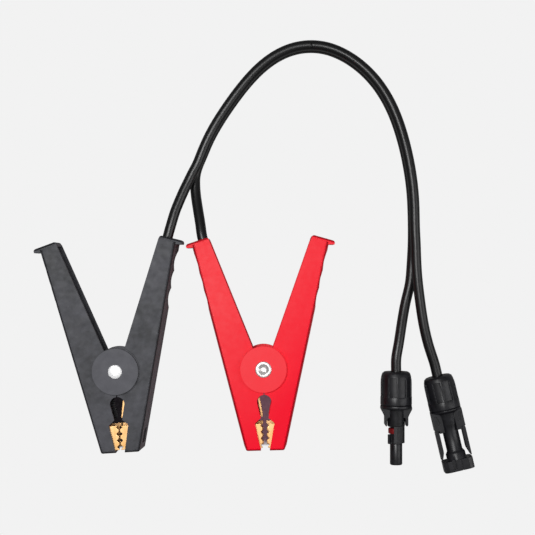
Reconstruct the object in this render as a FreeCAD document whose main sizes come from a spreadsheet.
import FreeCAD, Part
import Sketcher
import math
import os

# Two-lead adapter cable: a pair of battery clamps on one end and a pair of
# 4 mm solar plugs on the other, joined by a bonded twin cable.
# The assembly lies flat. +Z is up, +Y runs from the clamp jaws towards the
# cable arch, and the origin is the bottom centre of the bounding box.
# Each clamp has its own frame: pivot at the origin, jaws towards -Y, Z up.
# Each plug has its own frame: Z runs from the cable entry to the mating end
# and Y points up.

Vector = FreeCAD.Vector
doc = FreeCAD.newDocument("clamp_to_solar_plug_lead")
sheet = doc.addObject("Spreadsheet::Sheet", "sizes")

# In the plug sizes, names ending in from, to, full, knee, root, taper, tip, long or
# deep are mostly heights along the plug's Z, and in, out, round, bore are radii.
SIZES = [
    # shift that centres the assembly
    ("frame_dx", -0.369), ("frame_dy", -0.5755),
    # clamp placing: pivot, lean of the clamp axis, height of the mid-plane
    ("black_pivot_x", -82.85), ("black_pivot_y", -68.00), ("black_lean", 3.5),
    ("red_pivot_x", 5.15), ("red_pivot_y", -66.65), ("red_lean", 1.4),
    ("clamp_height", 13.2),
    # clamp lever moulding
    ("lever_thick", 22.0), ("plate_wall", 2.0), ("web_wall", 2.3), ("end_wall", 2.5),
    ("outer_at_pivot", 23.47), ("outer_slope", 0.2356), ("outer_draft", 4.0),
    ("outer_round", 1.6), ("vee_at_pivot", 1.25), ("vee_angle", 20.57), ("end_angle", 17.0),
    ("jaw_end", 48.4), ("handle_end", 79.4),
    ("disc_radius", 13.9), ("disc_rise", 1.5),
    ("eye_radius", 12.0), ("eye_gap", 0.5), ("eye_drop", 0.2), ("eye_relief_gap", 0.85),
    ("window_round_y", 19.4), ("window_round", 4.35),
    ("window_low_y", 28.9), ("window_low_w", 2.3),
    ("pocket_top_y", 32.0), ("pocket_top_w", 5.8), ("pocket_low_w", 2.65),
    ("jaw_end_wall", 1.3),
    ("rivet_bore", 2.56), ("rivet_shank", 2.5), ("eyelet_head", 4.85), ("dome_head", 4.1),
    ("rivet_head_high", 0.75), ("rivet_head_gap", 0.02), ("rivet_set_head", 4.2),
    ("rivet_set_high", 0.7), ("rivet_eyelet", 1.5), ("rivet_bore_deep", 6.0),
    ("flange_long", 14.3), ("flange_drop", 1.9), ("flange_round", 1.6),
    ("flange_overlap", 0.6), ("flange_taper", 0.9), ("plate_end", 1.8),
    ("grip_first", 37.2), ("grip_pitch", 10.35), ("grip_deep", 0.85), ("grip_round", 16.5),
    ("grip_lean", 13.25),
    ("cable_hole", 3.35), ("cable_hole_in_black", 4.3), ("cable_hole_in_red", 3.7),
    ("web_slot_from", 44.0), ("web_slot_to", 35.5), ("web_slot_high", 8.0),
    ("corner_round", 1.3),
    # jaws
    ("jaw_tall", 16.8), ("jaw_sheet", 1.0), ("jaw_low", 46.9), ("jaw_high", 32.5),
    ("jaw_back_gap", 0.3), ("jaw_edge_black", 0.36), ("jaw_edge_red", 0.95),
    ("tooth_deep_black", 1.2), ("tooth_deep_red", 0.85), ("cheek_step_black", 0.02),
    ("cheek_step_red", 0.6), ("tooth_half", 1.75), ("tooth_root_half", 0.25),
    ("tooth_first", 1.7), ("tooth_pitch", 3.9),
    # current strip and its ferrule
    ("strip_sheet", 1.3), ("strip_tall", 6.0), ("ferrule_long", 9.0),
    ("ferrule_out", 2.3), ("ferrule_in", 1.4), ("ferrule_overlap", 1.0), ("ferrule_floor", 1.6),
    # torsion spring
    ("spring_wire", 0.8), ("spring_round", 5.2), ("spring_pitch", 1.75), ("spring_full_turns", 5),
    ("spring_leg", 32.3), ("spring_angle", 50.0), ("spring_elbow", 0.04),
    # cable
    ("jacket_out", 3.1), ("jacket_in", 1.35), ("core_round", 1.3),
    ("low_z", 3.1), ("up_z", 9.35), ("up_offset", 0.5), ("bond_half", 1.0),
    ("flex_ball", 3.05),
    # plug placing
    ("plug_z", 9.5), ("socket_x", 85.37), ("socket_y", -69.09), ("socket_lean", 0.0),
    ("pin_x", 110.35), ("pin_y", -71.87), ("pin_lean", 13.2),
    # gland nut, cage and cable seal
    ("nut_round", 9.5), ("nut_long", 20.2), ("nut_shoulder", 7.2), ("nut_hole", 3.5),
    ("nut_bore", 7.9), ("nut_ledge", 5.85), ("nut_face", 1.6),
    ("flute_deep", 0.6), ("flute_half", 14.6), ("flute_from", 3.2), ("flute_to", 15.2),
    ("cage_in", 3.2), ("cage_out", 6.0), ("cage_from", 1.75), ("cage_to", 5.9),
    ("cage_gap", 0.2),
    ("bush_in", 3.15), ("bush_out", 5.1), ("bush_from", 6.2), ("bush_to", 16.2),
    # features shared by both housings and both contacts
    ("spigot_round", 7.75), ("spigot_from", 6.0), ("ring_from", 20.4), ("ring_to", 21.9),
    ("gland_bore", 5.2), ("gland_deep", 16.5), ("tail_bore", 3.3), ("tail_bore_to", 23.4),
    ("contact_bore", 2.7), ("contact_bore_from", 24.0),
    ("contact_from", 17.4), ("contact_round", 2.55), ("barrel_round", 2.15),
    ("barrel_to", 23.8), ("barrel_cone_to", 24.6), ("barrel_bore_to", 23.0),
    # socket plug
    ("socket_body", 5.3), ("socket_body_to", 33.2), ("nose_round", 3.72), ("nose_root", 3.45),
    ("nose_tip", 56.3), ("nose_step", 0.6),
    ("wing_top", 9.4), ("wing_wide", 7.0), ("wing_from", 27.6), ("wing_knee", 27.2),
    ("wing_to", 32.7), ("wing_half", 4.0),
    ("key_round", 5.15), ("key_to", 43.0), ("key_b_from", 38.3), ("key_overlap", 0.4),
    ("seal_seat_from", 33.8), ("seal_seat_to", 37.6), ("seal_seat", 4.85),
    ("seal_in", 3.5), ("seal_out", 4.78), ("seal_from", 33.95), ("seal_to", 37.45),
    ("socket_tip", 55.0), ("socket_bore", 2.0), ("socket_bore_from", 38.0),
    # pin plug
    ("pin_cone", 6.8), ("pin_body", 4.75), ("pin_cone_to", 33.0), ("pin_throat", 5.9),
    ("throat_from", 45.6), ("throat_full", 47.4), ("collar_from", 51.1), ("collar_to", 57.8),
    ("collar_half_wide", 9.05), ("collar_half_thick", 6.6), ("mate_bore", 3.8),
    ("mate_from", 35.0), ("key_bore", 5.2), ("key_bore_from", 49.3), ("notch_to", 56.3),
    ("panel_half", 9.2), ("panel_to", 32.1), ("panel_step", 1.6), ("panel_overlap", 0.9),
    ("recess_x", 6.75), ("recess_z", 26.0), ("recess_tilt", 17.0), ("recess_cut", 2.0),
    ("recess_floor", 0.8),
    ("arm_out", 9.2), ("arm_in", 7.0), ("arm_root", 33.3), ("arm_taper", 45.8),
    ("arm_tip", 50.4), ("arm_half", 3.4),
    ("pin_round", 2.0), ("pin_tip", 53.0), ("pin_from", 34.8), ("pin_shoulder", 34.0),
]
TABLES = {
    # (x, y) on the centreline of the lower cable along the bonded arch
    "arch": [(96.18, 21.6), (95.61, 36.95), (93.23, 55.55), (88.95, 73.81), (82.41, 91.37),
             (72.42, 107.19), (58.54, 119.71), (41.40, 127.07), (22.93, 126.17),
             (6.49, 117.33), (-6.63, 103.98), (-17.76, 88.88), (-27.37, 72.78),
             (-33.45, 58.7)],
    # (x, y, z) on the centreline of each free leg, from the arch outwards
    "leg_black": [(-35.25, 55.75, 9.35), (-37.6, 51.3, 9.5), (-40.2, 46.0, 9.8),
                  (-42.6, 41.0, 10.3), (-45.4, 34.5, 11.1), (-48.1, 27.6, 12.0),
                  (-50.2, 20.6, 12.8)],
    "leg_red": [(-34.8, 55.58, 3.1), (-36.3, 50.0, 3.35), (-36.5, 44.0, 4.1),
                (-36.0, 38.0, 5.4), (-35.0, 31.5, 7.4), (-33.85, 25.0, 9.6),
                (-32.75, 18.5, 11.7)],
    "leg_socket": [(96.23, 18.2, 3.1), (96.15, 8.0, 3.13), (95.5, -4.3, 3.18),
                   (94.2, -17.0, 3.4), (92.0, -26.1, 4.0), (90.1, -35.0, 5.3),
                   (88.3, -45.0, 7.3), (86.6, -54.5, 8.9)],
    "leg_pin": [(96.73, 18.2, 9.35), (97.2, 8.0, 9.35), (97.65, -4.3, 9.35),
                (98.5, -15.3, 9.4), (99.8, -26.1, 9.45), (101.3, -36.5, 9.5),
                (103.2, -46.2, 9.5), (105.7, -55.5, 9.5)],
    # (x, y) in the clamp frame on the bent current strip, from the jaw to the ferrule
    "strip": [(8.54, -44.8), (10.78, -35.3), (1.75, -27.9), (3.6, -15.6), (8.4, -9.0),
              (10.2, 0.0), (13.6, 12.0), (20.6, 30.6), (21.3, 33.4)],
}
# direction of the ferrule in the clamp frame
FERRULE_DIRECTION = Vector(0.2985, 0.9544, 0)

entries = list(SIZES)
for table_name, points in TABLES.items():
    for i, point in enumerate(points):
        for axis, coordinate in zip("xyz", point):
            entries.append(("%s_%s_n%d" % (table_name, axis, i), coordinate))
for row, (name, entry) in enumerate(entries, start=1):
    sheet.set("A%d" % row, name)
    sheet.set("B%d" % row, str(entry))
    sheet.setAlias("B%d" % row, name)
doc.recompute()


# --------------------------------------------------------------- sizes
class Size:
    """A number from the sheet together with the expression that gives it."""

    def __init__(self, value, text):
        self.value = float(value)
        self.text = text

    def __add__(self, other):
        other = size(other)
        return Size(self.value + other.value, "(%s + %s)" % (self.text, other.text))

    def __radd__(self, other):
        return size(other) + self

    def __sub__(self, other):
        other = size(other)
        return Size(self.value - other.value, "(%s - %s)" % (self.text, other.text))

    def __rsub__(self, other):
        return size(other) - self

    def __mul__(self, other):
        other = size(other)
        return Size(self.value * other.value, "(%s * %s)" % (self.text, other.text))

    def __rmul__(self, other):
        return size(other) * self

    def __truediv__(self, other):
        other = size(other)
        return Size(self.value / other.value, "(%s / %s)" % (self.text, other.text))

    def __neg__(self):
        return Size(-self.value, "(0 - %s)" % self.text)


def size(x):
    if isinstance(x, Size):
        return x
    return Size(x, "%.6f" % x if x >= 0 else "(0 - %.6f)" % -x)


def number(name):
    return float(getattr(sheet, name))


def dim(name):
    return Size(number(name), "sizes." + name)


def cosd(angle):
    angle = size(angle)
    return Size(math.cos(math.radians(angle.value)), "cos(%s * 1 deg)" % angle.text)


def sind(angle):
    angle = size(angle)
    return Size(math.sin(math.radians(angle.value)), "sin(%s * 1 deg)" % angle.text)


def table(name):
    """Points of a table, read back from the sheet."""
    axes = "xyz"[:len(TABLES[name][0])]
    return [tuple(number("%s_%s_n%d" % (name, axis, i)) for axis in axes)
            for i in range(len(TABLES[name]))]


# --------------------------------------------------------------- sketches and features
def new_body(label):
    body = doc.addObject("PartDesign::Body", label)
    body.Label = label
    return body


def plane(body, role):
    return [f for f in body.Origin.OriginFeatures if f.Role == role][0]


def new_sketch(body, name, role="XY_Plane", lift=None):
    sketch = body.newObject("Sketcher::SketchObject", name)
    sketch.AttachmentSupport = [(plane(body, role), "")]
    sketch.MapMode = "FlatFace"
    if lift is not None:
        lift = size(lift)
        sketch.AttachmentOffset = FreeCAD.Placement(Vector(0, 0, lift.value),
                                                    FreeCAD.Rotation())
        sketch.setExpression("AttachmentOffset.Base.z", lift.text)
    return sketch


def hold(sketch, geometry, position, x, y):
    """Tie a sketch point to the origin, or to an axis where its distance is zero."""
    for kind, axis, distance in (("DistanceX", -2, size(x)), ("DistanceY", -1, size(y))):
        if abs(distance.value) < 1e-9:
            sketch.addConstraint(
                Sketcher.Constraint("PointOnObject", geometry, position, axis))
        else:
            i = sketch.addConstraint(
                Sketcher.Constraint(kind, -1, 1, geometry, position, distance.value))
            sketch.setExpression("Constraints[%d]" % i, distance.text)


def polygon(sketch, corners):
    corners = [(size(x), size(y)) for x, y in corners]
    vectors = [Vector(x.value, y.value, 0) for x, y in corners]
    count = len(corners)
    first = sketch.GeometryCount
    for i in range(count):
        sketch.addGeometry(Part.LineSegment(vectors[i], vectors[(i + 1) % count]), False)
    for i in range(count):
        sketch.addConstraint(Sketcher.Constraint("Coincident", first + i, 2,
                                                 first + (i + 1) % count, 1))
    for i, (x, y) in enumerate(corners):
        hold(sketch, first + i, 1, x, y)


def circle(sketch, x, y, radius):
    x, y, radius = size(x), size(y), size(radius)
    geometry = sketch.addGeometry(
        Part.Circle(Vector(x.value, y.value, 0), Vector(0, 0, 1), radius.value), False)
    i = sketch.addConstraint(Sketcher.Constraint("Radius", geometry, radius.value))
    sketch.setExpression("Constraints[%d]" % i, radius.text)
    hold(sketch, geometry, 3, x, y)


def extrude(body, sketch, name, length, cut=False, both=False):
    feature = body.newObject("PartDesign::Pocket" if cut else "PartDesign::Pad", name)
    feature.Profile = sketch
    length = size(length)
    feature.Length = length.value
    feature.setExpression("Length", length.text)
    if both:
        # the property is SideType or Midplane, depending on the FreeCAD version
        if hasattr(feature, "SideType"):
            feature.SideType = "Symmetric"
        else:
            feature.Midplane = True
    body.Tip = feature
    return feature


def slab(body, name, bottom, top, *outlines, cut=False):
    """Pad or pocket between two heights of the body's own Z.

    An outline is a list of (x, y) corners, or one (x, y, radius) tuple for a circle.
    """
    sketch = new_sketch(body, name + "_sketch", lift=top if cut else bottom)
    for outline in outlines:
        if isinstance(outline, list):
            polygon(sketch, outline)
        else:
            circle(sketch, *outline)
    return extrude(body, sketch, name, size(top) - size(bottom), cut=cut)


def turn(body, name, outline, cut=False):
    """Revolve a (radius, height) outline about the body's own Z."""
    sketch = new_sketch(body, name + "_sketch", "XZ_Plane")
    polygon(sketch, outline)
    feature = body.newObject("PartDesign::Groove" if cut else "PartDesign::Revolution", name)
    feature.Profile = sketch
    feature.ReferenceAxis = (sketch, ["V_Axis"])
    feature.Angle = 360.0
    body.Tip = feature


def sym_block(body, name, outline, half_width):
    """Extrude an (x, z) outline equally to both sides of the XZ plane."""
    sketch = new_sketch(body, name + "_sketch", "XZ_Plane")
    polygon(sketch, outline)
    extrude(body, sketch, name, 2 * size(half_width), both=True)


def on_side(side, outline):
    """The outline as given for side 1, mirrored in X for side -1."""
    return [(side * x, z) for x, z in outline]


def round_edges(body, name, radius, test):
    doc.recompute()
    tip = body.Tip
    names = ["Edge%d" % (i + 1) for i, edge in enumerate(tip.Shape.Edges) if test(edge)]
    if not names:
        return
    fillet = body.newObject("PartDesign::Fillet", name)
    fillet.Base = (tip, names)
    fillet.Radius = radius.value
    fillet.setExpression("Radius", radius.text)
    body.Tip = fillet
    doc.recompute()
    # a fillet that the kernel cannot build is left out
    if fillet.Shape.isNull() or not fillet.Shape.isValid():
        body.removeObject(fillet)
        doc.removeObject(fillet.Name)
        body.Tip = tip
        doc.recompute()


parts = []


def finish(body, placement):
    body.Placement = placement
    parts.append(body)


def add_solid(label, shape, placement=None):
    """Store a shape built in code as a part."""
    solid = doc.addObject("Part::Feature", label)
    solid.Label = label
    solid.Shape = shape
    if placement is not None:
        solid.Placement = placement
    parts.append(solid)


def outward(shape):
    """Turn a solid that came out inside out."""
    if shape.Volume < 0:
        shape.reverse()
    return shape


# --------------------------------------------------------------- frames
def shift(x, y, z):
    return Vector(x + number("frame_dx"), y + number("frame_dy"), z)


def plug_frame(plug):
    turn_up = FreeCAD.Rotation(Vector(1, 0, 0), 90)
    lean = FreeCAD.Rotation(Vector(0, 0, 1), number(plug + "_lean"))
    base = shift(number(plug + "_x"), number(plug + "_y"), number("plug_z"))
    return FreeCAD.Placement(base, lean.multiply(turn_up))


def clamp_frame(clamp, flip=False):
    """Frame of a clamp; flip turns a right-hand piece over to make the left-hand one."""
    rotation = FreeCAD.Rotation(Vector(0, 0, 1), number(clamp + "_lean"))
    if flip:
        rotation = rotation.multiply(FreeCAD.Rotation(Vector(0, 1, 0), 180))
    base = shift(number(clamp + "_pivot_x"), number(clamp + "_pivot_y"),
                 number("clamp_height"))
    return FreeCAD.Placement(base, rotation)


# --------------------------------------------------------------- clamp lever
# The lever is drawn to the right of the clamp axis.
lever_half = dim("lever_thick") / 2
lever_inside = lever_half - dim("plate_wall")
vee_slope = sind(dim("vee_angle")) / cosd(dim("vee_angle"))


def outer(y):
    """X of the outer wall."""
    return dim("outer_at_pivot") + dim("outer_slope") * size(y)


def vee_edge(y):
    """X of the handle edge that faces the other lever."""
    return dim("vee_at_pivot") + vee_slope * size(y)


# inner corner of the handle end, and unit directions along the end and out of it
corner_x = vee_edge(dim("handle_end"))
corner_y = dim("handle_end")
along_x, along_y = cosd(dim("end_angle")), -sind(dim("end_angle"))
out_x, out_y = sind(dim("end_angle")), cosd(dim("end_angle"))


def end_point(along, inward):
    """Point measured from the inner corner of the handle end."""
    return (corner_x + along_x * along - out_x * inward,
            corner_y + along_y * along - out_y * inward)


def end_reach(inward, inset):
    """Distance along the end, `inward` of it, to the outer wall less `inset`."""
    x, y = end_point(0, inward)
    wall_x = outer(y) - inset
    return (wall_x - x) / (along_x - dim("outer_slope") * along_y)


def draft_outer(body, flip):
    """Draft on the outer wall, wider towards -Z, or towards +Z in a turned-over lever."""
    doc.recompute()
    tip = body.Tip
    names = []
    for i, face in enumerate(tip.Shape.Faces):
        normal = face.normalAt(0, 0)
        centre = face.CenterOfMass
        if abs(normal.z) < 1e-6 and normal.x > 0.9 and face.Area > 500 \
                and abs(centre.x - outer(centre.y).value) < 0.1:
            names.append("Face%d" % (i + 1))
    draft = body.newObject("PartDesign::Draft", "outer_draft")
    draft.Base = (tip, names)
    draft.Angle = number("outer_draft")
    draft.setExpression("Angle", "sizes.outer_draft")
    draft.NeutralPlane = (plane(body, "XY_Plane"), [""])
    draft.Reversed = flip
    body.Tip = draft
    doc.recompute()


def lever_blank(body, flip):
    """Solid outline with its drafted and rounded outer wall."""
    stop = dim("plate_end")
    window = [(dim("window_round") * cosd(angle),
               dim("window_round") * sind(angle) - dim("window_round_y"))
              for angle in (86.0, 65.0, 43.0, 21.0, 0.001)]
    slab(body, "blank", -lever_half, lever_half, [
        (dim("pocket_low_w"), -dim("jaw_end")), (outer(-dim("jaw_end")), -dim("jaw_end")),
        end_point(end_reach(stop, 0.0), stop), end_point(0, stop),
        (vee_edge(2.0), 2.0), (0.3, 0.0)] + window + [
        (dim("window_low_w"), -dim("window_low_y")),
        (dim("pocket_top_w"), -dim("pocket_top_y"))])
    draft_outer(body, flip)

    jaw_y = -number("jaw_end")
    jaw_x = outer(jaw_y).value

    def at_jaw_corner(edge):
        centre = edge.CenterOfMass
        return edge.Length > 5 and abs(centre.x - jaw_x) < 0.1 and abs(centre.y - jaw_y) < 0.05
    round_edges(body, "jaw_corner", dim("corner_round"), at_jaw_corner)

    def along_outer_wall(edge):
        if edge.Length < 20 or len(edge.Vertexes) != 2:
            return False
        run = edge.Vertexes[1].Point - edge.Vertexes[0].Point
        centre = edge.CenterOfMass
        return abs(abs(centre.z) - lever_half.value) < 0.05 \
            and centre.x > 0.6 * outer(centre.y).value \
            and abs(run.y) > 20 and abs(run.x / run.y - number("outer_slope")) < 0.02
    round_edges(body, "outer_rounding", dim("outer_round"), along_outer_wall)


def lever_channel(body):
    """Hollow between the two plates, open towards the clamp axis."""
    end_wall, web_wall = dim("end_wall"), dim("web_wall")
    low = -dim("jaw_end") + dim("jaw_end_wall")
    open_x = -8.0
    slab(body, "channel", -lever_inside, lever_inside, [
        (open_x, low), (outer(low) - web_wall, low),
        end_point(end_reach(end_wall, web_wall), end_wall), end_point(-6.0, end_wall),
        (open_x, 0.5)], cut=True)


def lever_pivot(body):
    """Seat, eye, disc and hole around the rivet."""
    half, disc = lever_half, dim("disc_radius")
    slab(body, "rear_seat", -half, -lever_inside,
         (0, 0, dim("eye_radius") + dim("eye_gap")), cut=True)
    slab(body, "eye", lever_inside, half, (0, 0, dim("eye_radius")))
    slab(body, "eye_relief", half - dim("eye_drop"), half,
         (0, 0, disc + dim("eye_relief_gap")), cut=True)
    slab(body, "disc", -half - dim("disc_rise"), -half, (0, 0, disc))
    slab(body, "rivet_hole", -half - 3, half + 1, (0, 0, dim("rivet_bore")), cut=True)


def lever_grips(body):
    """Three shallow hollows across the outer wall of the handle."""
    away = dim("grip_round") - dim("grip_deep")
    for i in range(3):
        middle = dim("grip_first") + dim("grip_pitch") * (i + 0.5)
        slab(body, "grip_%d" % (i + 1), -lever_half - 0.5, lever_half + 0.5,
             (outer(middle) + away * cosd(dim("grip_lean")),
              middle - away * sind(dim("grip_lean")), dim("grip_round")), cut=True)


def lever_flange(body):
    """Flange across the handle end that runs out past the outer wall."""
    top = lever_half - dim("flange_drop")
    overlap = dim("flange_overlap")
    wall, length = dim("end_wall") + overlap, dim("flange_long")
    slab(body, "flange", -top, top, [
        end_point(0, 0), end_point(length, 0), end_point(length, wall - dim("flange_taper")),
        end_point(end_reach(wall, overlap) + 0.4, wall), end_point(0, wall)])

    def on_end(edge):
        centre = edge.CenterOfMass
        beyond = (centre.x - corner_x.value) * out_x.value \
            + (centre.y - corner_y.value) * out_y.value
        return edge.Length > 10 and abs(beyond) < 0.05 \
            and (abs(abs(centre.z) - top.value) < 0.05 or abs(centre.z) < 0.05)
    round_edges(body, "flange_rounding", dim("flange_round"), on_end)


def lever_openings(body, clamp):
    """Cable hole through the handle end and slot through the web beside the jaw."""
    hole_long = 12
    hole = body.newObject("PartDesign::SubtractiveCylinder", "cable_hole")
    hole.Radius = number("cable_hole")
    hole.setExpression("Radius", "sizes.cable_hole")
    hole.Height = hole_long
    x, y = end_point(dim("cable_hole_in_" + clamp), hole_long / 2)
    hole.Placement = FreeCAD.Placement(
        Vector(x.value, y.value, 0),
        FreeCAD.Rotation(Vector(0, 0, 1), Vector(out_x.value, out_y.value, 0)))
    body.Tip = hole

    slot = body.newObject("PartDesign::SubtractiveBox", "web_slot")
    slot.Length = 12
    slot.Width = number("web_slot_from") - number("web_slot_to")
    slot.setExpression("Width", "sizes.web_slot_from - sizes.web_slot_to")
    slot.Height = number("web_slot_high")
    slot.setExpression("Height", "sizes.web_slot_high")
    slot.Placement = FreeCAD.Placement(
        Vector(outer(-40).value - 5, -number("web_slot_from"), -number("web_slot_high") / 2),
        FreeCAD.Rotation())
    body.Tip = slot


def lever(label, clamp, flip):
    body = new_body(label)
    lever_blank(body, flip)
    lever_channel(body)
    lever_pivot(body)
    lever_grips(body)
    lever_flange(body)
    lever_openings(body, clamp)
    finish(body, clamp_frame(clamp, flip))


# --------------------------------------------------------------- clamp inner parts
def rivet(label, clamp, eyelet):
    """Rivet through both levers, with an eyelet or a domed head on top."""
    body = new_body(label)
    seat = lever_half + dim("disc_rise")
    top = seat + dim("rivet_head_high")
    foot = -(seat + dim("rivet_set_high"))
    under_head = seat + dim("rivet_head_gap")
    head = dim("eyelet_head") if eyelet else dim("dome_head")
    shank, set_head, bore = dim("rivet_shank"), dim("rivet_set_head"), dim("rivet_eyelet")
    bore_top = foot + dim("rivet_bore_deep")
    if eyelet:
        crown = [(head - 0.12, top - 0.25), (head - 0.45, top - 0.04), (head - 0.8, top),
                 (head - 1.5, top), (head - 1.85, top - 0.08), (bore, top - 1.2),
                 (bore - 0.15, top - 1.35), (0, top - 1.35)]
    else:
        crown = [(head - 0.25, top - 0.28), (head - 0.8, top - 0.1), (head - 1.8, top),
                 (0, top)]
    turn(body, "turned", [
        (bore, foot), (set_head - 0.4, foot), (set_head, foot + 0.3), (set_head, -seat),
        (shank, -seat), (shank, under_head), (head, under_head), (head, top - 0.5)]
        + crown + [(0, bore_top), (bore, bore_top)])
    finish(body, clamp_frame(clamp))


def jaw(label, clamp, flip):
    """Folded sheet channel with a row of teeth on each cheek."""
    body = new_body(label)
    edge = dim("jaw_edge_" + clamp)
    upper_edge = edge + dim("cheek_step_" + clamp)
    tooth_deep = dim("tooth_deep_" + clamp)
    half, wall = dim("jaw_tall") / 2, dim("jaw_sheet")
    low, high = -dim("jaw_low"), -dim("jaw_high")

    def back(y, inset):
        return outer(y) - dim("web_wall") - dim("jaw_back_gap") - inset
    slab(body, "blank", -half, half, [
        (edge, low), (back(low, 0), low), (back(high, 0), high), (edge, high)])
    slab(body, "hollow", -half + wall, half - wall, [
        (-3.0, low - 2), (back(low - 2, wall), low - 2), (back(high + 2, wall), high + 2),
        (-3.0, high + 2)], cut=True)

    # own heights of the cheeks that face up and down once the jaw is placed
    upper, lower = (0.0, half + 1), (-half - 1, 0.0)
    if flip:
        upper, lower = lower, upper
    # the upper cheek stands back a little from the lower one
    slab(body, "upper_cheek", *upper, [
        (-1.0, low - 1), (upper_edge, low - 1), (upper_edge, high + 1), (-1.0, high + 1)],
        cut=True)
    # the two rows of teeth are half a pitch apart
    pitch, first = dim("tooth_pitch"), dim("tooth_first")
    mouth, root = dim("tooth_half"), dim("tooth_root_half")
    for name, x, heights, start, count in (
            ("upper_teeth", upper_edge, upper, first, 4),
            ("lower_teeth", edge, lower, first + pitch / 2, 3)):
        gaps = []
        for i in range(count):
            middle = low + start + pitch * i
            gaps.append([(x - 0.5, middle - mouth), (x + tooth_deep, middle - root),
                         (x + tooth_deep, middle + root), (x - 0.5, middle + mouth)])
        slab(body, name, *heights, *gaps, cut=True)
    finish(body, clamp_frame(clamp, flip))


def strip(label, clamp, flip):
    """Bent strip of even thickness with mitred bends and a ferrule on its end."""
    points = table("strip")
    half = number("strip_sheet") / 2
    last = len(points) - 1
    left, right = [], []
    for i, (x, y) in enumerate(points):
        before = points[max(i - 1, 0)]
        after = points[min(i + 1, last)]
        arriving = Vector(x - before[0], y - before[1], 0)
        leaving = Vector(after[0] - x, after[1] - y, 0)
        if i == 0:
            arriving = leaving
        if i == last:
            leaving = arriving
        arriving.normalize()
        leaving.normalize()
        mitre = arriving + leaving
        mitre.normalize()
        across = Vector(-mitre.y, mitre.x, 0) * (half / max(mitre.dot(arriving), 0.5))
        left.append(Vector(x, y, 0) + across)
        right.append(Vector(x, y, 0) - across)
    loop = left + right[::-1]
    face = Part.Face(Part.makePolygon(loop + [loop[0]]))
    tall = number("strip_tall")
    face.translate(Vector(0, 0, -tall / 2))
    bar = face.extrude(Vector(0, 0, tall))
    length = number("ferrule_long")
    start = Vector(*points[-1], 0) - FERRULE_DIRECTION * number("ferrule_overlap")
    floor = start + FERRULE_DIRECTION * number("ferrule_floor")
    tube = Part.makeCylinder(number("ferrule_out"), length, start, FERRULE_DIRECTION)
    bore = Part.makeCylinder(number("ferrule_in"), length, floor, FERRULE_DIRECTION)
    add_solid(label, bar.fuse(tube).cut(bore), clamp_frame(clamp, flip))


def spring(label, clamp):
    """Torsion spring around the rivet with one straight leg along each handle."""
    wire, radius, pitch = number("spring_wire"), number("spring_round"), number("spring_pitch")
    angle = number("spring_angle")
    start_angle = 180 + (90 - angle)
    end_angle = 360 - (90 - angle)
    turns = number("spring_full_turns") + (end_angle - start_angle) / 360.0
    height = pitch * turns
    helix = Part.Wire(Part.makeHelix(pitch, height, radius).Edges)
    first = helix.Edges[0]
    section = Part.Wire([Part.makeCircle(wire, first.valueAt(first.FirstParameter),
                                         first.tangentAt(first.FirstParameter))])
    shape = outward(helix.makePipeShell([section], True, True))
    shape.rotate(Vector(0, 0, 0), Vector(0, 0, 1), start_angle)
    shape.translate(Vector(0, 0, -height / 2))
    for side, coil_angle in ((-1, start_angle), (1, end_angle)):
        turned = math.radians(coil_angle)
        start = Vector(radius * math.cos(turned), radius * math.sin(turned), side * height / 2)
        direction = Vector(side * math.cos(math.radians(angle)),
                           math.sin(math.radians(angle)), 0)
        elbow = Part.makeSphere(wire + number("spring_elbow"), start)
        straight = Part.makeCylinder(wire, number("spring_leg"), start, direction)
        shape = shape.fuse(elbow.fuse(straight))
    add_solid(label, shape, clamp_frame(clamp))


for clamp, cable_right, eyelet in (("black", True, False), ("red", False, True)):
    # the left lever is the right one turned over, with its draft reversed
    for right in (True, False):
        role = "cable" if right == cable_right else "free"
        lever("%s_%s_lever" % (clamp, role), clamp, not right)
        jaw("%s_%s_jaw" % (clamp, role), clamp, not right)
    rivet("%s_rivet" % clamp, clamp, eyelet)
    strip("%s_current_strip" % clamp, clamp, not cable_right)
    spring("%s_torsion_spring" % clamp, clamp)


# --------------------------------------------------------------- cables
def spline(points):
    curve = Part.BSplineCurve()
    curve.interpolate(points)
    return curve


def sweep(edge, section):
    """Solid swept along an edge, its section kept upright."""
    shell = Part.BRepOffsetAPI.MakePipeShell(Part.Wire([edge]))
    shell.setBiNormalMode(Vector(0, 0, 1))
    shell.add(section)
    shell.build()
    shell.makeSolid()
    return outward(shell.shape())


def pipe(edge, radius):
    start = edge.valueAt(edge.FirstParameter)
    tangent = edge.tangentAt(edge.FirstParameter)
    normal = Vector(tangent.x, tangent.y, 0)
    return sweep(edge, Part.Wire([Part.makeCircle(radius, start, normal)]))


def twin_section(low, high, tangent):
    """Outline of two round jackets joined by a narrow bond."""
    radius, bond = number("jacket_out"), number("bond_half")
    rise = high - low
    rise.normalize()
    side = tangent.cross(rise)
    side.normalize()
    reach = rise * math.sqrt(radius * radius - bond * bond)
    low_a, low_b = low + reach + side * bond, low + reach - side * bond
    high_a, high_b = high - reach + side * bond, high - reach - side * bond
    return Part.Wire([
        Part.Arc(low_b, low - rise * radius, low_a).toShape(), Part.makeLine(low_a, high_a),
        Part.Arc(high_a, high + rise * radius, high_b).toShape(),
        Part.makeLine(high_b, low_b)])


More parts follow.
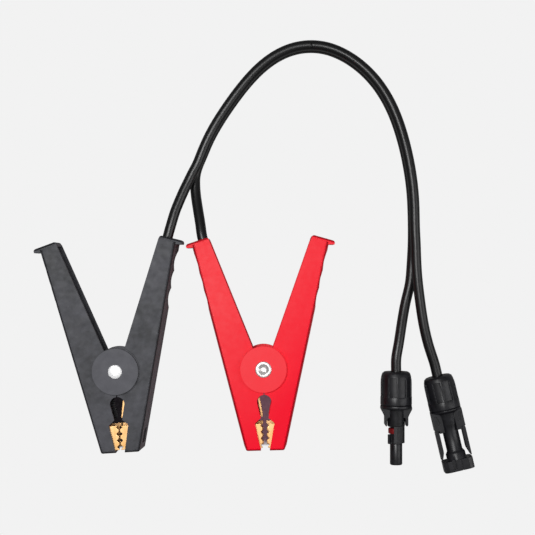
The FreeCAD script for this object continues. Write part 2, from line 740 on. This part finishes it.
def twin_cable():
    """Bonded arch: one jacket around two cores, one above the other."""
    curve = spline([shift(x, y, number("low_z")) for x, y in table("arch")])
    first, last = curve.FirstParameter, curve.LastParameter
    # the upper centreline lies a little to the side of the lower one
    steps = 40
    upper_points = []
    for i in range(steps + 1):
        parameter = first + (last - first) * i / steps
        point = curve.value(parameter)
        tangent = curve.tangent(parameter)[0]
        sideways = Vector(tangent.y, -tangent.x, 0)
        upper_points.append(Vector(point.x, point.y, number("up_z"))
                            + sideways * number("up_offset"))
    lower = curve.toShape()
    upper = spline(upper_points).toShape()
    section = twin_section(curve.value(first), upper_points[0], curve.tangent(first)[0])
    jacket = sweep(lower, section)
    for edge in (lower, upper):
        jacket = jacket.cut(pipe(edge, number("jacket_in")))
    add_solid("twin_cable_jacket", jacket)
    add_solid("twin_core_lower", pipe(lower, number("core_round")))
    add_solid("twin_core_upper", pipe(upper, number("core_round")))


def leg(prefix, points, jacket_end):
    """One flexible leg: jacket with a rounded start, and a core that runs on past it."""
    curve = spline(points)
    whole = curve.toShape()
    covered = curve.toShape(curve.FirstParameter, curve.parameter(jacket_end))
    jacket = pipe(covered, number("jacket_out"))
    jacket = jacket.fuse(Part.makeSphere(number("flex_ball"), points[0]))
    jacket = jacket.cut(pipe(whole, number("jacket_in")))
    # the cut can leave a loose scrap, so only the largest solid is kept
    add_solid(prefix + "_jacket", max(jacket.Solids, key=lambda solid: solid.Volume))
    add_solid(prefix + "_core", pipe(whole, number("core_round")))


def clamp_leg(clamp, right):
    """Leg through the hole in the handle end and on into the ferrule."""
    frame = clamp_frame(clamp)
    side = 1 if right else -1
    tail = []
    for inward in (-0.5, 3.5, 10.0, 16.0):
        x, y = end_point(dim("cable_hole_in_" + clamp), inward)
        tail.append(frame.multVec(Vector(side * x.value, y.value, 0)))
    jacket_end = tail[-1]
    strip_x, strip_y = table("strip")[-1]
    for ahead in (12.5, 7.0, 2.2):
        tail.append(frame.multVec(Vector(side * (strip_x + FERRULE_DIRECTION.x * ahead),
                                         strip_y + FERRULE_DIRECTION.y * ahead, 0)))
    start = [shift(*point) for point in table("leg_" + clamp)]
    leg(clamp + "_clamp_leg", start + tail, jacket_end)


def plug_leg(plug):
    """Leg that ends on the plug's axis, its jacket stopping at the fifth height."""
    frame = plug_frame(plug)
    tail = [frame.multVec(Vector(0, 0, z)) for z in (-7.0, -1.0, 5.0, 11.0, 16.8, 22.2)]
    start = [shift(*point) for point in table("leg_" + plug)]
    leg(plug + "_leg", start + tail, tail[4])


twin_cable()
clamp_leg("black", True)
clamp_leg("red", False)
plug_leg("socket")
plug_leg("pin")


# --------------------------------------------------------------- plug glands
def gland_nut(plug):
    """Nut with ten shallow flutes around it."""
    body = new_body(plug + "_gland_nut")
    radius, length, hole = dim("nut_round"), dim("nut_long"), dim("nut_hole")
    shoulder, bore = dim("nut_shoulder"), dim("nut_bore")
    cage_room = dim("cage_out") + dim("cage_gap")
    ledge, face = dim("nut_ledge"), dim("nut_face")
    turn(body, "turned", [
        (hole, 0), (shoulder, 0), (shoulder + 1.2, 0.9), (radius - 0.55, 2.6),
        (radius - 0.1, 4.6), (radius, 7.0), (radius, length - 0.4), (radius - 0.3, length),
        (bore, length), (bore, ledge), (cage_room, ledge), (cage_room, face), (hole, face)])
    # the flute floor is concentric with the nut, so thin ribs stand between the flutes
    angle = dim("flute_half")
    floor, outside = radius - dim("flute_deep"), radius + 1.5
    outline = [(floor * cosd(angle * part), floor * sind(angle * part))
               for part in (-1.0, -0.67, -0.33, 0.0, 0.33, 0.67, 1.0)]
    outline += [(outside, outside * sind(angle)), (outside, -(outside * sind(angle)))]
    flute = slab(body, "flute", dim("flute_from"), dim("flute_to"), outline, cut=True)
    pattern = body.newObject("PartDesign::PolarPattern", "flutes")
    pattern.Originals = [flute]
    pattern.Axis = (flute.Profile[0], ["N_Axis"])
    pattern.Angle = 360.0
    pattern.Occurrences = 10
    body.Tip = pattern
    finish(body, plug_frame(plug))


def turned_part(label, plug, outline):
    body = new_body(label)
    turn(body, "turned", outline)
    finish(body, plug_frame(plug))


def clamping_cage(plug):
    inner, outside = dim("cage_in"), dim("cage_out")
    start, end = dim("cage_from"), dim("cage_to")
    turned_part(plug + "_clamping_cage", plug, [
        (inner, start), (outside, start), (outside, end - 0.2), (outside - 0.9, end),
        (inner, end)])


def cable_seal(plug):
    inner, outside = dim("bush_in"), dim("bush_out")
    start, end = dim("bush_from"), dim("bush_to")
    turned_part(plug + "_cable_seal", plug, [
        (inner, start), (outside, start), (outside, end), (inner, end)])


# --------------------------------------------------------------- plug housings
def spigot_outline():
    """Start of both housing outlines: the spigot inside the nut, up to the ring."""
    radius, start = dim("spigot_round"), dim("spigot_from")
    return [(dim("gland_bore"), start), (radius - 0.5, start), (radius, start + 0.6),
            (radius, dim("ring_from")), (dim("nut_round"), dim("ring_from"))]


def bore_outline():
    """End of both housing outlines: the stepped bore back to the cable entry."""
    return [(dim("contact_bore"), dim("contact_bore_from")),
            (dim("tail_bore"), dim("tail_bore_to")), (dim("tail_bore"), dim("gland_deep")),
            (dim("gland_bore"), dim("gland_deep"))]


def sector(inner, outside, start_angle, end_angle):
    """Corners of a ring sector, each arc drawn as five chords."""
    steps = 5
    angles = [start_angle + (end_angle - start_angle) * i / float(steps)
              for i in range(steps + 1)]

    def corner(radius, angle):
        return radius * cosd(angle), radius * sind(angle)
    return ([corner(inner, angles[0])] + [corner(outside, angle) for angle in angles]
            + [corner(inner, angle) for angle in angles[:0:-1]])


def socket_housing():
    """Housing with a long nose, two side wings and two keys on the nose."""
    body = new_body("socket_housing")
    ring, ring_to = dim("nut_round"), dim("ring_to")
    radius, body_to = dim("socket_body"), dim("socket_body_to")
    root, nose, tip = dim("nose_root"), dim("nose_round"), dim("nose_tip")
    step = dim("key_to") + dim("nose_step")
    turn(body, "turned", spigot_outline() + [
        (ring, ring_to), (ring - 1.6, ring_to + 0.5), (radius + 0.3, ring_to + 0.7),
        (radius, ring_to + 2.0), (radius, body_to - 0.6), (radius - 0.5, body_to),
        (root, body_to), (root, step), (nose, step), (nose, tip - 0.5), (nose - 0.4, tip),
        (dim("contact_bore"), tip)] + bore_outline())

    wide, top = dim("wing_wide"), dim("wing_top") - 0.1
    knee, wing_from, wing_to = dim("wing_knee"), dim("wing_from"), dim("wing_to")
    wing = [
        (radius - 1.2, ring_to - 0.6), (top, ring_to - 0.6), (top, ring_to + 0.6),
        (wide + 0.5, knee - 1.2), (wide, knee), (wide, wing_to - 0.8), (wide - 0.5, wing_to),
        (wide - 1.1, wing_to), (wide - 1.35, wing_from + 1.0), (wide - 1.9, wing_from),
        (radius - 1.2, wing_from)]
    for side, name in ((1, "wing_right"), (-1, "wing_left")):
        sym_block(body, name, on_side(side, wing), dim("wing_half"))

    key_in, key_out = root - dim("key_overlap"), dim("key_round")
    slab(body, "key_a", body_to - 1.0, dim("key_to"), sector(key_in, key_out, 2.0, 110.0))
    slab(body, "key_b", dim("key_b_from"), step, sector(key_in, key_out, 150.0, 262.0))
    seat, seat_from, seat_to = dim("seal_seat"), dim("seal_seat_from"), dim("seal_seat_to")
    turn(body, "seal_seat", [(root, seat_from), (seat, seat_from), (seat, seat_to),
                             (root, seat_to)], cut=True)
    finish(body, plug_frame("socket"))


# (along, across) corners of the finger recess, before it is tilted
RECESS = [(-2.9, -0.35), (-2.9, 0.35), (-2.3, 0.85), (2.3, 0.85),
          (2.9, 0.35), (2.9, -0.35), (2.3, -0.85), (-2.3, -0.85)]


def finger_recess(body, side, up):
    """Slanted recess in one face of one shoulder, cut from its floor outwards."""
    # the sketch normal points to -Y
    sketch = new_sketch(body, "recess_%d_%d" % (side + 1, up + 1), "XZ_Plane",
                        lift=-up * (dim("arm_half") + dim("recess_floor")))
    cosine = math.cos(math.radians(number("recess_tilt")))
    sine = math.sin(math.radians(number("recess_tilt")))
    outline = [(dim("recess_x") + (across * cosine - along * sine),
                dim("recess_z") + (across * sine + along * cosine))
               for along, across in RECESS]
    polygon(sketch, on_side(side, outline))
    pocket = extrude(body, sketch, "finger_recess_%d_%d" % (side + 1, up + 1),
                     dim("recess_cut"), cut=True)
    pocket.Reversed = up < 0


def pin_housing():
    """Housing with two flat-sided shoulders and a wide collar at the mating end."""
    body = new_body("pin_housing")
    ring_to, cone, radius = dim("ring_to"), dim("pin_cone"), dim("pin_body")
    throat, key_bore, mate_bore = dim("pin_throat"), dim("key_bore"), dim("mate_bore")
    key_from, mate_from = dim("key_bore_from"), dim("mate_from")
    collar_from, collar_to = dim("collar_from"), dim("collar_to")
    turn(body, "turned", spigot_outline() + [
        (dim("nut_round") - 0.1, ring_to - 0.6), (cone + 0.6, ring_to + 0.3),
        (cone, ring_to + 0.8), (radius, dim("pin_cone_to")), (radius, dim("throat_from")),
        (throat, dim("throat_full")), (throat, collar_from + 1.0),
        (key_bore, collar_from + 1.0), (key_bore, key_from), (mate_bore, key_from),
        (mate_bore, mate_from), (dim("contact_bore"), mate_from)] + bore_outline())

    # flat-sided shoulders that carry the two latch arms
    panel, panel_to, step = dim("panel_half"), dim("panel_to"), dim("panel_step")
    arm_foot, inside = dim("arm_in") - 0.2, radius - dim("panel_overlap")
    shoulder = [
        (inside, ring_to - 0.8), (panel, ring_to - 0.8), (panel, panel_to),
        (arm_foot, panel_to), (arm_foot, panel_to + step), (inside, panel_to + step)]
    for side, name in ((1, "shoulder_right"), (-1, "shoulder_left")):
        sym_block(body, name, on_side(side, shoulder), dim("arm_half") + step)

    wide, thick = dim("collar_half_wide"), dim("collar_half_thick")
    slab(body, "collar", collar_from, collar_to, [
        (wide, -(thick - 2.6)), (wide, thick - 2.6), (wide - 0.9, thick - 0.9),
        (wide - 2.8, thick), (-(wide - 2.8), thick), (-(wide - 0.9), thick - 0.9),
        (-wide, thick - 2.6), (-wide, -(thick - 2.6)), (-(wide - 0.9), -(thick - 0.9)),
        (-(wide - 2.8), -thick), (wide - 2.8, -thick), (wide - 0.9, -(thick - 0.9))],
        (0, 0, key_bore))
    # notch and long groove in the top face of the collar: x range, depth, end height
    for name, x_from, x_to, depth, end in (
            ("notch", -3.7, -1.6, 1.4, dim("notch_to")),
            ("groove", 1.3, 2.1, 0.7, collar_to + 0.5)):
        slab(body, name, collar_from - 0.5, end, [
            (x_from, thick - depth), (x_to, thick - depth), (x_to, thick + 1),
            (x_from, thick + 1)], cut=True)
    for side in (1, -1):
        for up in (1, -1):
            finger_recess(body, side, up)
    finish(body, plug_frame("pin"))


def latch_arm(label, side):
    """Straight arm with a rounded root and a tapered tip."""
    body = new_body(label)
    outside, inside = dim("arm_out"), dim("arm_in")
    root, taper, tip = dim("arm_root"), dim("arm_taper"), dim("arm_tip")
    middle, radius = (outside + inside) / 2, (outside - inside) / 2
    outline = [(outside, root), (outside, tip - 0.3), (outside - 0.5, tip),
               (inside + 0.1, taper), (inside, taper - 1.2), (inside, root)]
    for angle in (215, 250, 290, 325):
        outline.append((middle + radius * cosd(angle), root + radius * sind(angle)))
    sketch = new_sketch(body, "side_view", "XZ_Plane")
    polygon(sketch, on_side(side, outline))
    extrude(body, sketch, "arm", 2 * dim("arm_half"), both=True)
    finish(body, plug_frame("pin"))


# --------------------------------------------------------------- seal and contacts
def sealing_ring():
    inner, outside = dim("seal_in"), dim("seal_out")
    start, end = dim("seal_from"), dim("seal_to")
    turned_part("socket_sealing_ring", "socket", [
        (inner, start), (outside - 0.35, start), (outside, start + 0.45),
        (outside, end - 0.45), (outside - 0.35, end), (inner, end)])


def contact(plug, mating_end):
    """Contact with a hollow barrel for the core, finished by the given outline."""
    bore, barrel, start = dim("ferrule_in"), dim("barrel_round"), dim("contact_from")
    bore_to = dim("barrel_bore_to")
    turned_part(plug + "_contact", plug, [
        (bore, start), (barrel, start), (barrel, dim("barrel_to")),
        (dim("contact_round"), dim("barrel_cone_to"))] + mating_end + [
        (0, bore_to), (bore, bore_to)])


def socket_contact():
    tip, bore, bore_from = dim("socket_tip"), dim("socket_bore"), dim("socket_bore_from")
    contact("socket", [(dim("contact_round"), tip), (bore, tip), (bore, bore_from),
                       (0, bore_from)])


def pin_contact():
    radius, tip = dim("pin_round"), dim("pin_tip")
    contact("pin", [(dim("contact_round"), dim("pin_shoulder")), (radius, dim("pin_from")),
                    (radius, tip - 1.2), (radius - 1.0, tip), (0, tip)])


for plug in ("socket", "pin"):
    gland_nut(plug)
    clamping_cage(plug)
    cable_seal(plug)
socket_housing()
pin_housing()
latch_arm("latch_arm_left", -1)
latch_arm("latch_arm_right", 1)
sealing_ring()
socket_contact()
pin_contact()

# --------------------------------------------------------------- check and write
doc.recompute()
bad = [item.Label for item in doc.Objects
       if "Invalid" in item.State or "Error" in item.State]
bad += [part.Label for part in parts if part.Shape.isNull() or not part.Shape.isValid()]
if bad:
    raise RuntimeError("not sound: " + ", ".join(bad))
os.makedirs("parts", exist_ok=True)
for part in parts:
    part.Shape.exportStep("parts/%s.step" % part.Label)
